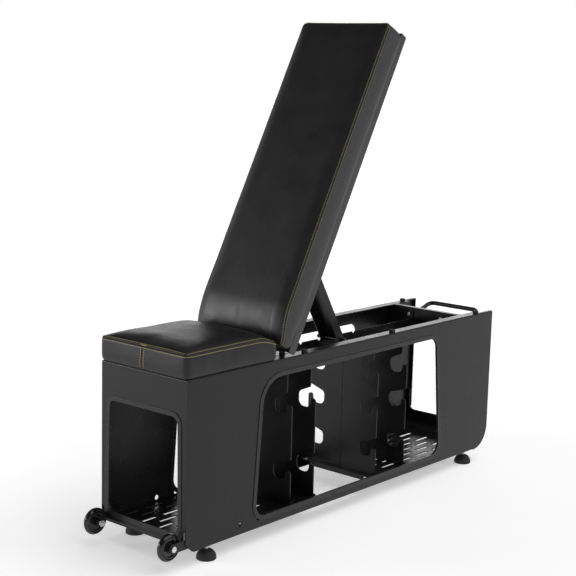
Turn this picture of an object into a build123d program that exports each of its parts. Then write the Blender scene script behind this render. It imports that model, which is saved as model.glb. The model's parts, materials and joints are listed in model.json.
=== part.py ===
from build123d import *
import math
import os

# Adjustable weight bench with dumbbell storage in its frame, in millimetres.
# +X runs from the foot end (seat, wheels) to the head end (lift handle), +Z is up, and the bench
# is symmetric about the XZ plane. The origin is on the floor under the middle of the whole bench.

# ---- driving dimensions -------------------------------------------------------------------------
frame_length = 1155.0
frame_width = 263.0
frame_top = 410.0
frame_bottom = 35.0
sheet = 2.5
bend_radius = 3.5

wheel_radius = 30.0
wheel_width = 16.0
wheel_reach = 33.5
handle_reach = 11.0
handle_rod = 12.0

backrest_angle = 62.0
backrest_range = (-62.0, 18.0)
strut_ratio = 1.97
pad_width = 266.0
pad_length = 800.0
seat_length = 281.0

# ---- places worked out from them ----------------------------------------------------------------
handle_tip = handle_reach + handle_rod / 2
front_tip = wheel_reach + wheel_radius
front_x = front_tip - (frame_length + front_tip + handle_tip) / 2
rear_x = front_x + frame_length
half_width = frame_width / 2
web_inside = half_width - sheet
fit_gap = 0.1


def station(distance):
    """X of a point this far behind the front face of the frame."""
    return front_x + distance


# side panels
top_flange = 27.0
top_flange_end = 1101.0
rear_lip = 11.0
bottom_flange = 38.0
front_chamfer = 22.0
rear_radius = 60.0
side_opening = [(214.5, 61.0), (926.5, 61.0), (894.5, 373.5), (236.5, 373.5)]
side_opening_radii = [30.0, 30.0, 28.0, 62.0]
panel_hole_radius = 6.0
panel_hole_stations = (166.0, 227.0)
panel_hole_z = 59.0

# front panel
front_panel_bottom = 50.0
front_opening = [(-110.0, 73.0), (110.0, 73.0), (106.0, 328.0), (-106.0, 328.0)]
front_opening_radii = [20.0, 20.0, 18.0, 18.0]
bracket_notch_top = 82.0

# edge trims round the openings
trim_band = 9.0
trim_proud = 1.5
trim_wrap = 1.2

# trays
tray_top = 50.0
front_tray_ends = (2.6, 461.0)
rear_tray_start = 661.0
tray_wall_bottom = 37.6
tray_half = web_inside - fit_gap
slot_length = 54.0
slot_width = 9.5
slot_pitch_x = 75.0
slot_pitch_y = 27.0
slot_rows = 4

# hook plates
hook_plate_sheet = 3.0
front_pair = (357.5, 440.5)
rear_pair = (680.5, 799.5)
front_levels = (108.0, 265.0)
rear_levels = (94.0, 200.0, 289.0)
hook_outer = 110.0
hook_centre = 78.0
hook_radius = 20.0
hook_plate_top = 346.0
hook_lobe_top = 362.0
plate_inner = 0.6
fold_depth = 18.0

# hinge and ladder
hinge_x = station(332.0)
hinge_z = 426.5
hinge_pin_radius = 5.0
hinge_ear_radius = 8.3
hinge_ear_y = (96.0, 100.0)
hinge_lug_y = (101.0, 105.0)
running_gap = 0.05
ladder_y = 40.0
ladder_sheet = 3.0
ladder_bottom = 349.0
ladder_tab_top = 402.0
ladder_flange = 20.0
ladder_start = station(345.0)
rear_member_x = station(1030.0)

# strut
strut_width = 58.0
strut_depth = 22.0
strut_length = 288.7
strut_pin_radius = 5.0
strut_pivot_reach = 255.5
strut_pivot_drop = 36.6
strut_rest_angle = 58.9
foot_rod_radius = 5.0
foot_rod_half = 45.0
foot_clearance = 0.6

# backrest, measured with the backrest lying flat
pan_drop = 9.5
pan_depth = 21.0
pan_start = -12.3
pan_lip = 23.0
pan_bottom = hinge_z - pan_drop
pan_top = pan_bottom + pan_depth
pad_start = -9.3
board_thickness = 9.0
backrest_pad_height = 58.0
backrest_pad_fall = 23.0
seat_pad_height = 60.0

# levelling feet
foot_stations = (83.3, 1073.0)
foot_y = 112.0
foot_radius = 22.0
foot_dome_top = 23.0
stem_radius = 4.5
foot_nut_radius = 9.0

# rubber bumpers that the flat backrest lies on
bumper_stations = (384.5, 717.5, 1090.0)
bumper_y = 120.0
bumper_radius = 7.5


# ---- helpers ------------------------------------------------------------------------------------
def block(x0, x1, y0, y1, z0, z1):
    """A box between two corners."""
    box = Box(x1 - x0, y1 - y0, z1 - z0)
    return Pos((x0 + x1) / 2, (y0 + y1) / 2, (z0 + z1) / 2) * box


def rod_y(x, z, radius, y0, y1):
    """A round bar along Y."""
    turned = Rot(90, 0, 0) * Cylinder(radius, y1 - y0)
    return Pos(x, (y0 + y1) / 2, z) * turned


def rod_z(x, y, radius, z0, z1):
    """A round bar along Z."""
    return Pos(x, y, (z0 + z1) / 2) * Cylinder(radius, z1 - z0)


def rounded_outline(points, radii):
    """A face in the sketch plane with its own radius at each corner."""
    outline = Polyline(*points, close=True)
    face = make_face(outline)
    for (px, py), radius in zip(points, radii):
        corner = min(face.vertices(), key=lambda v: math.hypot(v.X - px, v.Y - py))
        face = fillet(corner, radius)
    return face


def extrude_xz(face, y0, y1):
    """Stand a face drawn in X and Z between two values of Y."""
    solid = extrude(Plane.XZ * face, amount=y1 - y0, dir=(0, 1, 0))
    return Pos(0, y0, 0) * solid


def extrude_yz(face, x0, x1):
    """Stand a face drawn in Y and Z between two values of X."""
    solid = extrude(Plane.YZ * face, amount=x1 - x0, dir=(1, 0, 0))
    return Pos(x0, 0, 0) * solid


def on_side(shape, side):
    """Keep a part made for +Y, or mirror it to -Y."""
    if side > 0:
        return shape
    return mirror(shape, about=Plane.XZ)


def group(shapes):
    """Separate solids that share one node."""
    return Compound(children=[solid for shape in shapes for solid in shape.solids()])


def tilt(shape):
    """Raise a backrest part from flat to its rest incline."""
    axis = Axis((hinge_x, 0, hinge_z), (0, -1, 0))
    return shape.rotate(axis, backrest_angle)


def hex_nut(x, y, radius, bore, z0, z1):
    """A hexagon nut along Z."""
    body = extrude(RegularPolygon(radius, 6), amount=z1 - z0)
    return Pos(x, y, z0) * (body - Cylinder(bore, 3 * (z1 - z0)))


# ---- frame --------------------------------------------------------------------------------------
def side_opening_face(grow=0.0):
    points = [(station(d), z) for d, z in side_opening]
    face = rounded_outline(points, side_opening_radii)
    if grow:
        face = offset(face, amount=grow)
    return face


def front_opening_face(grow=0.0):
    face = rounded_outline(front_opening, front_opening_radii)
    if grow:
        face = offset(face, amount=grow)
    return face


def long_bend(x0, x1, height, upward):
    """The waste outside a rounded bend along X at the outer edge of the side panel."""
    axis_z = height - upward * bend_radius
    corner_z = sorted((axis_z, height + upward))
    corner = block(x0, x1, half_width - bend_radius, half_width + 1, *corner_z)
    round_bar = Rot(0, 90, 0) * Cylinder(bend_radius, 2 * frame_length)
    return corner - Pos(0, half_width - bend_radius, axis_z) * round_bar


def cross_bend():
    """The waste outside the rounded bend along Y at the top of the front panel."""
    axis_x, axis_z = front_x + bend_radius, frame_top - bend_radius
    corner = block(front_x - 1, axis_x, -frame_width, frame_width, axis_z, frame_top + 1)
    return corner - rod_y(axis_x, axis_z, bend_radius, -2 * frame_width, 2 * frame_width)


def side_panel(side):
    outline = rounded_outline(
        [
            (front_x + front_chamfer, frame_bottom),
            (rear_x, frame_bottom),
            (rear_x, frame_top),
            (front_x, frame_top),
            (front_x, frame_bottom + front_chamfer),
        ],
        [18.0, rear_radius, 3.0, 3.0, 6.0],
    )
    web = extrude_xz(outline, web_inside, half_width)
    web -= extrude_xz(side_opening_face(), 0, frame_width)
    for distance in panel_hole_stations:
        web -= rod_y(station(distance), panel_hole_z, panel_hole_radius, 0, frame_width)
    flange_front = front_x + sheet + fit_gap
    top = block(flange_front, station(top_flange_end), half_width - top_flange, web_inside,
                frame_top - sheet, frame_top)
    top += block(station(top_flange_end) - 1, rear_x, half_width - rear_lip, web_inside,
                 frame_top - sheet, frame_top)
    lip = block(rear_x - sheet, rear_x, half_width - rear_lip, web_inside,
                frame_bottom + rear_radius + 3.0, frame_top)
    bottom_front = station(44.0)
    bottom_rear = rear_x - rear_radius - 2.0
    bottom = block(bottom_front, bottom_rear, half_width - bottom_flange, web_inside,
                   frame_bottom, frame_bottom + sheet)
    for distance in foot_stations:
        bottom -= rod_z(station(distance), foot_y, stem_radius + running_gap, 0, frame_top)
    panel = web + top + lip + bottom
    panel -= long_bend(front_x - 1, rear_x + 1, frame_top, 1)
    panel -= long_bend(bottom_front, bottom_rear, frame_bottom, -1)
    return on_side(panel, side)


def front_panel():
    inside = web_inside - fit_gap
    face = block(front_x, front_x + sheet, -inside, inside, front_panel_bottom, frame_top)
    bend = 8.0
    rail_depth = 26.0
    rail = block(front_x, front_x + rail_depth, -inside, inside,
                 front_panel_bottom, front_panel_bottom + sheet)
    strip = half_width - top_flange - fit_gap
    fold = block(front_x, front_x + 20.0, -strip, strip, frame_top - sheet, frame_top)
    panel = face + rail + fold
    corner = panel.edges().filter_by(Axis.Y).sort_by(lambda e: e.center().X + e.center().Z)[0]
    panel = fillet(corner, bend - sheet)
    for side in (-1, 1):
        flange_y = sorted((side * (inside - sheet), side * inside))
        panel += block(front_x, front_x + 18.0, *flange_y, bracket_notch_top, frame_top - sheet - fit_gap)
        notch_y = sorted((side * (inside - 6.0), side * frame_width))
        panel -= block(front_x - 1, front_x + 40.0, *notch_y, 0, bracket_notch_top)
    panel -= cross_bend()
    return panel - extrude_yz(front_opening_face(), front_x - 10, front_x + 10)


def side_opening_trim(side):
    """A U-section edging: a ring less the sheet that it grips."""
    band = side_opening_face(trim_band) - side_opening_face(-trim_wrap)
    sheet_band = side_opening_face(trim_band + 1) - side_opening_face()
    ring = extrude_xz(band, web_inside - trim_proud, half_width + trim_proud)
    return on_side(ring - extrude_xz(sheet_band, web_inside, half_width), side)


def front_opening_trim():
    band = front_opening_face(trim_band) - front_opening_face(-trim_wrap)
    sheet_band = front_opening_face(trim_band + 1) - front_opening_face()
    ring = extrude_yz(band, front_x - trim_proud, front_x + sheet + trim_proud)
    return ring - extrude_yz(sheet_band, front_x, front_x + sheet)


def tray_slots(x0, x1):
    """Staggered drain slots along X between two stations."""
    slot = extrude(SlotOverall(slot_length, slot_width), amount=40, both=True)
    places = []
    for row in range(-slot_rows, slot_rows + 1):
        shift = slot_pitch_x / 2 if row % 2 else 0.0
        x = x0 + slot_length / 2 + shift
        while x + slot_length / 2 <= x1:
            places.append(Pos(x, row * slot_pitch_y, tray_top) * slot)
            x += slot_pitch_x
    return places


def front_tray():
    x0, x1 = (station(d) for d in front_tray_ends)
    floor_z = tray_top - sheet
    tray = block(x0, x1, -tray_half, tray_half, floor_z, tray_top)
    tray += block(x1 - sheet, x1, -90, 90, tray_top - 12, tray_top)
    for side in (-1, 1):
        wall_y = sorted((side * (tray_half - sheet), side * tray_half))
        tray += block(x0 + 68, x1, *wall_y, tray_wall_bottom, tray_top)
        corner_y = sorted((side * (web_inside - 4.0 - fit_gap), side * frame_width))
        tray -= block(front_x, station(60.0), *corner_y, 0, frame_top)
    tray -= block(front_x, front_x + 26.5, -tray_half, tray_half, tray_top - fit_gap, tray_top + 1)
    for slot in tray_slots(x0 + 36, station(front_pair[0]) - 8):
        tray -= slot
    return tray


def rear_apron(tray_end):
    """The upright end of the rear tray: a U with rounded corners below the open rear end."""
    x1, z = tray_end
    window_half = tray_half - rear_lip
    plate = block(x1 - sheet, x1, -tray_half, tray_half, z - 2.0, z + 60.0)
    window = rounded_outline(
        [(-window_half, z + 3.0), (window_half, z + 3.0), (window_half, z + 80.0), (-window_half, z + 80.0)],
        [18.0, 18.0, 1.0, 1.0],
    )
    return plate - extrude_yz(window, x1 - 10, x1 + 10)


def rear_tray():
    x0 = station(rear_tray_start)
    floor_z = tray_top - sheet
    centre = (rear_x - rear_radius, frame_bottom + rear_radius)
    outer = centre[1] - floor_z
    sweep = 84.0
    end_angle = math.radians(sweep - 90)
    inner = outer - sheet

    def on_arc(radius, angle):
        return (centre[0] + radius * math.cos(angle), centre[1] + radius * math.sin(angle))

    middle = math.radians(sweep / 2 - 90)
    profile = [
        Line((x0, floor_z), (centre[0], floor_z)),
        ThreePointArc((centre[0], floor_z), on_arc(outer, middle), on_arc(outer, end_angle)),
        Line(on_arc(outer, end_angle), on_arc(inner, end_angle)),
        ThreePointArc(on_arc(inner, end_angle), on_arc(inner, middle), (centre[0], tray_top)),
        Line((centre[0], tray_top), (x0, tray_top)),
        Line((x0, tray_top), (x0, floor_z)),
    ]
    tray = extrude_xz(make_face(profile), -tray_half, tray_half)
    tray += rear_apron(on_arc(outer, end_angle))
    tray += block(x0, x0 + sheet, -90, 90, tray_top - 12, tray_top)
    for side in (-1, 1):
        wall_y = sorted((side * (tray_half - sheet), side * tray_half))
        tray += block(x0, centre[0] - 5, *wall_y, tray_wall_bottom, tray_top)
    for slot in tray_slots(station(rear_pair[0]) + 30, centre[0] - 10):
        tray -= slot
    return tray


def hinge_cross_member():
    x0, x1 = station(302.0), station(357.0)
    top = frame_top - sheet - fit_gap
    half = web_inside - fit_gap
    depth = 24.0
    member = block(x0, x1, -half, half, top - sheet, top)
    member += block(x0, x0 + sheet, -half, half, top - depth, top)
    member += block(x1 - sheet, x1, -half, half, top - depth, top)
    for side in (-1, 1):
        rail_y = sorted((side * 36.0, side * 43.0))
        member -= block(x1 - 20, x1 + 1, *rail_y, 0, top - sheet)
    return member


def seat_cross_member():
    """A channel under the front half of the seat."""
    x0, x1 = station(70.0), station(110.0)
    top = frame_top - sheet - fit_gap
    half = web_inside - fit_gap
    member = block(x0, x1, -half, half, top - sheet, top)
    member += block(x0, x0 + sheet, -half, half, top - 24, top)
    return member + block(x1 - sheet, x1, -half, half, top - 24, top)


def rear_cross_member():
    half = web_inside - fit_gap
    strip = half_width - top_flange - fit_gap
    x0 = rear_member_x
    low = frame_top - 70.0
    member = block(x0, x0 + sheet, -half, half, low, frame_top - sheet - fit_gap)
    member += block(x0, x0 + sheet, -strip, strip, frame_top - 20.0, frame_top)
    member += block(x0, x0 + 14, -strip, strip, frame_top - sheet, frame_top)
    return member + block(x0, x0 + 18, -half, half, low, low + sheet)


def hinge_bracket(side):
    base = block(hinge_x - 24, hinge_x + 24, 74, hinge_ear_y[1], frame_top - sheet - fit_gap, frame_top)
    ear = block(hinge_x - hinge_ear_radius, hinge_x + hinge_ear_radius, *hinge_ear_y, frame_top, hinge_z)
    ear += rod_y(hinge_x, hinge_z, hinge_ear_radius, *hinge_ear_y)
    ear -= rod_y(hinge_x, hinge_z, hinge_pin_radius, 0, frame_width)
    return on_side(base + ear, side)


def hinge_pins():
    """A shoulder pin on each side, fixed in the frame's bracket."""
    pins = []
    for side in (-1, 1):
        head_y = hinge_ear_y[0] - fit_gap
        cap_y = hinge_lug_y[1] + 0.5
        pin = rod_y(hinge_x, hinge_z, hinge_pin_radius, head_y, cap_y)
        pin += rod_y(hinge_x, hinge_z, 8.0, head_y - 3.4, head_y)
        pin += rod_y(hinge_x, hinge_z, 6.5, cap_y, cap_y + 2.0)
        pins.append(on_side(pin, side))
    return group(pins)


def strut_pivot(incline):
    """X and Z of the strut's pivot with the backrest raised by this many degrees."""
    raised = math.radians(incline)
    x = hinge_x + strut_pivot_reach * math.cos(raised) + strut_pivot_drop * math.sin(raised)
    z = hinge_z + strut_pivot_reach * math.sin(raised) - strut_pivot_drop * math.cos(raised)
    return x, z


def lowest_foot_height():
    """The lowest point that the foot rod's axis reaches over the backrest's travel."""
    flat, upright = (round(backrest_angle + limit) for limit in backrest_range)
    lowest = frame_top
    for incline in range(flat, upright + 1):
        slope = math.radians(strut_rest_angle + (strut_ratio - 1) * (incline - backrest_angle))
        lowest = min(lowest, strut_pivot(incline)[1] - strut_length * math.sin(slope))
    return lowest


def foot_seat_x(incline):
    """X of the ladder seat that holds the backrest at an incline."""
    pivot_x, pivot_z = strut_pivot(incline)
    drop = pivot_z - foot_height
    return pivot_x + math.sqrt(max(strut_length ** 2 - drop ** 2, 0.0))


ladder_top = lowest_foot_height() - foot_rod_radius - foot_clearance
foot_height = ladder_top + foot_rod_radius
ladder_inclines = (78, 70, 62, 52, 42, 32, 22)


def ladder_rail(side):
    y0, y1 = ladder_y - ladder_sheet / 2, ladder_y + ladder_sheet / 2
    x1 = rear_member_x - fit_gap
    rail = block(ladder_start, x1, y0, y1, ladder_bottom, ladder_top)
    rail += block(ladder_start, x1, y0 - ladder_flange, y0, ladder_bottom, ladder_bottom + ladder_sheet)
    tab_face = rounded_outline(
        [(y0, ladder_bottom), (y1 + 20, ladder_bottom), (y1 + 20, ladder_tab_top), (y0, ladder_tab_top)],
        [1.0, 4.0, 10.0, 1.4],
    )
    rail += extrude_yz(tab_face, x1 - ladder_sheet, x1)
    for incline in ladder_inclines:
        seat_radius = foot_rod_radius + foot_clearance
        rail -= rod_y(foot_seat_x(incline), ladder_top + 0.5, seat_radius, y0 - 1, y1 + 1)
    return on_side(rail, side)


def ladder_bolts():
    """Bolts through the ladder rails' end tabs into the rear cross-member."""
    bolts = []
    for side in (-1, 1):
        for z in (ladder_bottom + 11, ladder_tab_top - 11):
            head = Rot(0, 90, 0) * Cylinder(5.5, 4)
            bolts.append(Pos(rear_member_x - fit_gap - ladder_sheet - 2, side * 51.5, z) * head)
    return group(bolts)


def lift_handle():
    leg_y = 72.0
    bar_y = 79.0
    bar_x = rear_x + handle_reach
    bar_z = frame_top - 8.0
    root_x = rear_member_x + sheet
    root_z = frame_top - 48.0
    path = FilletPolyline(
        (root_x, -leg_y, root_z),
        (bar_x, -bar_y, bar_z),
        (bar_x, bar_y, bar_z),
        (root_x, leg_y, root_z),
        radius=16.0,
    )
    start = Plane(origin=path @ 0, z_dir=path % 0)
    handle = sweep(start * Circle(handle_rod / 2), path=path)
    return handle - block(root_x - 20, root_x, -100, 100, 300, frame_top)


# ---- dumbbell hook plates -----------------------------------------------------------------------
def hook_outline(levels):
    """Half of a hook plate in Y and Z: one open hook for each level."""
    tip = 7.0
    foot = hook_outer - 6.0
    mouth = hook_radius + 14.0
    points = [(plate_inner, tray_top), (foot, tray_top), (hook_outer, tray_top + 8)]
    radii = [0, 4.0, 4.0]
    for index, level in enumerate(levels):
        is_last = index == len(levels) - 1
        reach = hook_outer - 16.0 if is_last else hook_outer
        lift = level + hook_radius
        points += [(hook_outer, lift + 3), (hook_outer - 2 * tip, lift + 3)]
        radii += [tip - 0.3, tip - 0.4]
        points += [(hook_outer - 2 * tip, level), (hook_centre - hook_radius, level)]
        radii += [hook_radius - 4.5, hook_radius - 4.5]
        points += [(hook_centre - hook_radius, level + mouth), (reach, level + mouth + 16)]
        radii += [12.0, 6.0]
    points += [(hook_outer - 16.0, hook_lobe_top), (46.0, hook_lobe_top)]
    radii += [6.0, 4.0]
    points += [(46.0, hook_plate_top), (plate_inner, hook_plate_top)]
    radii += [0, 0]
    return points, radii


def hook_plate(distance, levels, side):
    """One bent plate: hooks outboard, a fold at the middle, and fixing tabs above and below."""
    points, radii = hook_outline(levels)
    outline = make_face(Polyline(*points, close=True))
    for (py, pz), radius in zip(points, radii):
        if radius:
            corner = min(outline.vertices(), key=lambda v: math.hypot(v.X - py, v.Y - pz))
            outline = fillet(corner, radius)
    x0 = station(distance)
    x1 = x0 + hook_plate_sheet
    thick = hook_plate_sheet
    plate = extrude_yz(outline, x0, x1)
    plate += block(x0, x1 + fold_depth, plate_inner, plate_inner + thick, tray_top, hook_plate_top)
    plate += block(x0, x1 + fold_depth, plate_inner, hook_outer - 8, tray_top, tray_top + thick)
    plate += block(x0, x1 + fold_depth, plate_inner, 44, hook_plate_top, ladder_bottom)
    return on_side(plate, side)


def hook_plate_bolts():
    """Bolts through the plates' upper and lower tabs."""
    bolts = []
    for distance in front_pair + rear_pair:
        x = station(distance) + hook_plate_sheet + fold_depth / 2
        for side in (-1, 1):
            for y in (34.0, 84.0):
                bolts.append(Pos(x, side * y, tray_top + hook_plate_sheet + 2) * Cylinder(6.0, 4))
            bolts.append(Pos(x, side * 30.0, ladder_bottom + ladder_sheet + 2) * Cylinder(6.0, 4))
    return group(bolts)


# ---- wheels and feet ----------------------------------------------------------------------------
wheel_x = front_x - wheel_reach
wheel_z = 56.0
wheel_y = 115.0
hub_inside = 97.5


def wheel(side):
    """A dished disc with a raised ring and a rounded tyre; its hub reaches inboard."""
    half = wheel_width / 2
    inboard = wheel_y - hub_inside
    bore = 4.0 + running_gap
    hub = 8.5
    disc = 3.5
    ring = half - 1.5
    shoulder = wheel_radius - 5.5
    profile = [
        Line((bore, -half), (hub + 1, -half)),
        Line((hub + 1, -half), (hub + 2, -disc)),
        Line((hub + 2, -disc), (wheel_radius - 12, -disc)),
        Line((wheel_radius - 12, -disc), (wheel_radius - 10.5, -ring)),
        Line((wheel_radius - 10.5, -ring), (wheel_radius - 8, -ring)),
        Line((wheel_radius - 8, -ring), (wheel_radius - 6.8, -disc - 1.5)),
        Line((wheel_radius - 6.8, -disc - 1.5), (shoulder, -half)),
        ThreePointArc((shoulder, -half), (wheel_radius, 0), (shoulder, half)),
        Line((shoulder, half), (wheel_radius - 6.8, disc + 1.5)),
        Line((wheel_radius - 6.8, disc + 1.5), (wheel_radius - 8, ring)),
        Line((wheel_radius - 8, ring), (wheel_radius - 10.5, ring)),
        Line((wheel_radius - 10.5, ring), (wheel_radius - 12, disc)),
        Line((wheel_radius - 12, disc), (hub + 1, disc)),
        Line((hub + 1, disc), (hub - 0.5, inboard)),
        Line((hub - 0.5, inboard), (bore, inboard)),
        Line((bore, inboard), (bore, -half)),
    ]
    turned = revolve(Plane.XZ * make_face(profile), axis=Axis.Z)
    return on_side(Pos(wheel_x, wheel_y, wheel_z) * (Rot(90, 0, 0) * turned), side)


def wheel_bracket(side):
    y0, y1 = web_inside - 4.0, web_inside
    radius = 10.5
    plate = block(wheel_x, station(58.0), y0, y1, wheel_z - radius, wheel_z + radius)
    plate += rod_y(wheel_x, wheel_z, radius, y0, y1)
    plate -= rod_y(wheel_x, wheel_z, 4.0, 0, frame_width)
    return on_side(plate, side)


def wheel_bolts():
    bolts = []
    for side in (-1, 1):
        bolt = rod_y(wheel_x, wheel_z, 4.0, 86.5, web_inside + 1)
        bolt += rod_y(wheel_x, wheel_z, 6.5, web_inside, web_inside + 4.0)
        bolts.append(on_side(bolt, side))
    return group(bolts)


def wheel_nuts():
    nuts = []
    for side in (-1, 1):
        nut = extrude(RegularPolygon(7.5, 6), amount=6.5) - Cylinder(4.0, 30)
        nuts.append(on_side(Pos(wheel_x, hub_inside - 0.5, wheel_z) * (Rot(90, 0, 0) * nut), side))
    return group(nuts)


def wheel_washers():
    washers = []
    for side in (-1, 1):
        washer = rod_y(wheel_x, wheel_z, 8.0, 123.4, 125.0) - rod_y(wheel_x, wheel_z, 4.0, 0, 200)
        washers.append(on_side(washer, side))
    return group(washers)


def foot_pad(x, y):
    """The rubber pad of a levelling foot: a dome on a flat base."""
    neck = 6.5
    profile = [
        Line((0, 0), (foot_radius - 1, 0)),
        Line((foot_radius - 1, 0), (foot_radius, 1)),
        Line((foot_radius, 1), (foot_radius, 6)),
        ThreePointArc((foot_radius, 6), (17.0, 16.5), (neck, foot_dome_top)),
        Line((neck, foot_dome_top), (0, foot_dome_top)),
        Line((0, foot_dome_top), (0, 0)),
    ]
    dome = revolve(Plane.XZ * make_face(profile), axis=Axis.Z)
    dome -= rod_z(0, 0, stem_radius, 6, 40)
    return Pos(x, y, 0) * dome


def foot_stem(x, y):
    return rod_z(x, y, stem_radius, 6, 46)


def foot_lock_nuts(places):
    """Jam nuts tight under the frame's flange: they lock each stem at its height."""
    high = frame_bottom - fit_gap
    return group(hex_nut(x, y, foot_nut_radius, stem_radius + running_gap, high - 5, high) for x, y in places)


def foot_weld_nuts(places):
    nuts = []
    for x, y in places:
        low = frame_bottom + sheet
        nuts.append(hex_nut(x, y, foot_nut_radius, stem_radius + running_gap, low, low + 6))
    return group(nuts)


# ---- seat ---------------------------------------------------------------------------------------
seat_front = front_x - 4.5


def seat_board():
    board = block(seat_front + 5, seat_front + seat_length - 5, -pad_width / 2 + 5, pad_width / 2 - 5,
                  frame_top + 0.3, frame_top + board_thickness)
    return fillet(board.edges().filter_by(Axis.Z), 12)


def seat_pad():
    """The seat cushion, sloping down at the rear to clear the backrest."""
    low = frame_top + board_thickness + 0.3
    high = frame_top + seat_pad_height
    rear = seat_front + seat_length
    profile = [
        Line((seat_front, low), (rear, low)),
        Line((rear, low), (rear, high - 16)),
        ThreePointArc((rear, high - 16), (rear - 12, high - 5), (rear - 34, high)),
        Line((rear - 34, high), (seat_front, high)),
        Line((seat_front, high), (seat_front, low)),
    ]
    pad = extrude_xz(make_face(profile), -pad_width / 2, pad_width / 2)
    return fillet(pad.edges().filter_by(Axis.Z), 10)


def seat_screws():
    """Screws from below, through the frame's flanges into the seat board."""
    screws = []
    for side in (-1, 1):
        for distance in (130.0, 200.0, 262.0):
            head = Pos(station(distance), side * 114.0, frame_top - sheet - 2.0) * Cylinder(5.0, 3.6)
            screws.append(head)
    return group(screws)


def rail_bumpers():
    bumpers = []
    for side in (-1, 1):
        for distance in bumper_stations:
            height = pan_bottom - 0.3 - frame_top
            bumper = Cylinder(bumper_radius, height)
            bumper = fillet(bumper.edges().sort_by(Axis.Z)[-1], 2.5)
            bumpers.append(Pos(station(distance), side * bumper_y, frame_top + height / 2) * bumper)
    return group(bumpers)


# ---- backrest -----------------------------------------------------------------------------------
def backrest_pan():
    x0 = hinge_x + pan_start
    x1 = hinge_x + pad_start + pad_length
    side_face = rounded_outline(
        [(x0, pan_bottom), (x1, pan_bottom), (x1, pan_top), (x0, pan_top)],
        [7.0, 5.0, 0.5, 0.5],
    )
    pan = block(x0 + 1, x1 - 1, -half_width, half_width, pan_top - sheet, pan_top)
    for side in (-1, 1):
        wall_y = sorted((side * web_inside, side * half_width))
        pan += extrude_xz(side_face, *wall_y)
        lip_y = sorted((side * (half_width - pan_lip), side * half_width))
        pan += block(x0 + 8, x1 - 5, *lip_y, pan_bottom, pan_bottom + sheet)
    pan += block(x1 - sheet, x1, -half_width, half_width, pan_bottom + 5, pan_top - 1)
    return tilt(pan)


def backrest_hinge_lugs():
    lugs = []
    for side in (-1, 1):
        lug_top = pan_top - sheet - fit_gap
        lug = block(hinge_x - hinge_ear_radius, hinge_x + 22, *hinge_lug_y, hinge_z, lug_top)
        lug += rod_y(hinge_x, hinge_z, hinge_ear_radius, *hinge_lug_y)
        lug -= rod_y(hinge_x, hinge_z, hinge_pin_radius + running_gap, 0, frame_width)
        lugs.append(on_side(lug, side))
    return tilt(group(lugs))


strut_pivot_x = hinge_x + strut_pivot_reach
strut_pivot_z = hinge_z - strut_pivot_drop
lug_inside = strut_width / 2 + 0.5


def strut_bracket():
    """A plate under the backrest pan with two lugs for the strut's pin."""
    base_top = pan_top - sheet
    base = block(strut_pivot_x - 40, strut_pivot_x + 40, -46, 46, base_top - 3, base_top)
    lugs = []
    for side in (-1, 1):
        lug_y = sorted((side * lug_inside, side * (lug_inside + 3.0)))
        outline = make_hull([
            Line((strut_pivot_x - 26, base_top - 3), (strut_pivot_x + 26, base_top - 3)),
            CenterArc((strut_pivot_x, strut_pivot_z), 11.0, 0, 360),
        ])
        lug = extrude_xz(outline, *lug_y)
        lugs.append(lug - rod_y(strut_pivot_x, strut_pivot_z, strut_pin_radius, -100, 100))
    return tilt(base + lugs[0] + lugs[1])


def strut_pin():
    half = lug_inside + 3.0
    pin = rod_y(strut_pivot_x, strut_pivot_z, strut_pin_radius, -half - 1.5, half + 1.5)
    for side in (-1, 1):
        head_y = sorted((side * half, side * (half + 2.0)))
        pin += rod_y(strut_pivot_x, strut_pivot_z, 7.0, *head_y)
    return tilt(pin)


def backrest_board():
    x0 = hinge_x + pad_start + 5
    x1 = x0 + pad_length - 10
    board = block(x0, x1, -pad_width / 2 + 5, pad_width / 2 - 5,
                  pan_top + 0.3, pan_top + board_thickness)
    board = fillet(board.edges().filter_by(Axis.Z), 14)
    return tilt(board)


def backrest_pad():
    """The cushion: its face curves down towards the seat at the lower end."""
    x0 = hinge_x + pad_start
    x1 = x0 + pad_length
    low = pan_top + board_thickness + 0.3
    high = pan_top + backrest_pad_height
    profile = [
        Line((x0, low), (x1, low)),
        Line((x1, low), (x1, high)),
        Line((x1, high), (x0 + 92, high)),
        ThreePointArc((x0 + 92, high), (x0 + 40, high - 8), (x0, high - backrest_pad_fall)),
        Line((x0, high - backrest_pad_fall), (x0, low)),
    ]
    pad = extrude_xz(make_face(profile), -pad_width / 2, pad_width / 2)
    ends = pad.edges().filter_by(Axis.Z)
    return tilt(fillet(ends, 16))


def backrest_screws():
    """Screws from behind, through the pan into the board."""
    screws = []
    for side in (-1, 1):
        for reach in (60.0, 380.0, 740.0):
            head = Cylinder(5.0, 3.4)
            screws.append(Pos(hinge_x + reach, side * 70.0, pan_top - sheet - 1.7) * head)
    return tilt(group(screws))


# ---- strut --------------------------------------------------------------------------------------
def place_strut(shape):
    """Swing a strut part, made along +X from its pivot, to its place at rest."""
    x, z = strut_pivot(backrest_angle)
    return Pos(x, 0, z) * (Rot(0, strut_rest_angle, 0) * shape)


def prop_strut():
    half = strut_width / 2
    end = 11.0
    side_face = make_hull([
        CenterArc((0, 0), end, 0, 360),
        CenterArc((strut_length, 0), end, 0, 360),
    ])
    strut = extrude_xz(side_face, -half, half)
    strut -= block(-20, strut_length + 20, -half + sheet, half - sheet, -end - 1, end - sheet)
    strut -= block(-20, 16, -half + sheet, half - sheet, -20, 20)
    strut -= rod_y(0, 0, strut_pin_radius + running_gap, -100, 100)
    strut -= rod_y(strut_length, 0, foot_rod_radius, -100, 100)
    return place_strut(strut)


def strut_foot_rod():
    return place_strut(rod_y(strut_length, 0, foot_rod_radius, -foot_rod_half, foot_rod_half))


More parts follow.
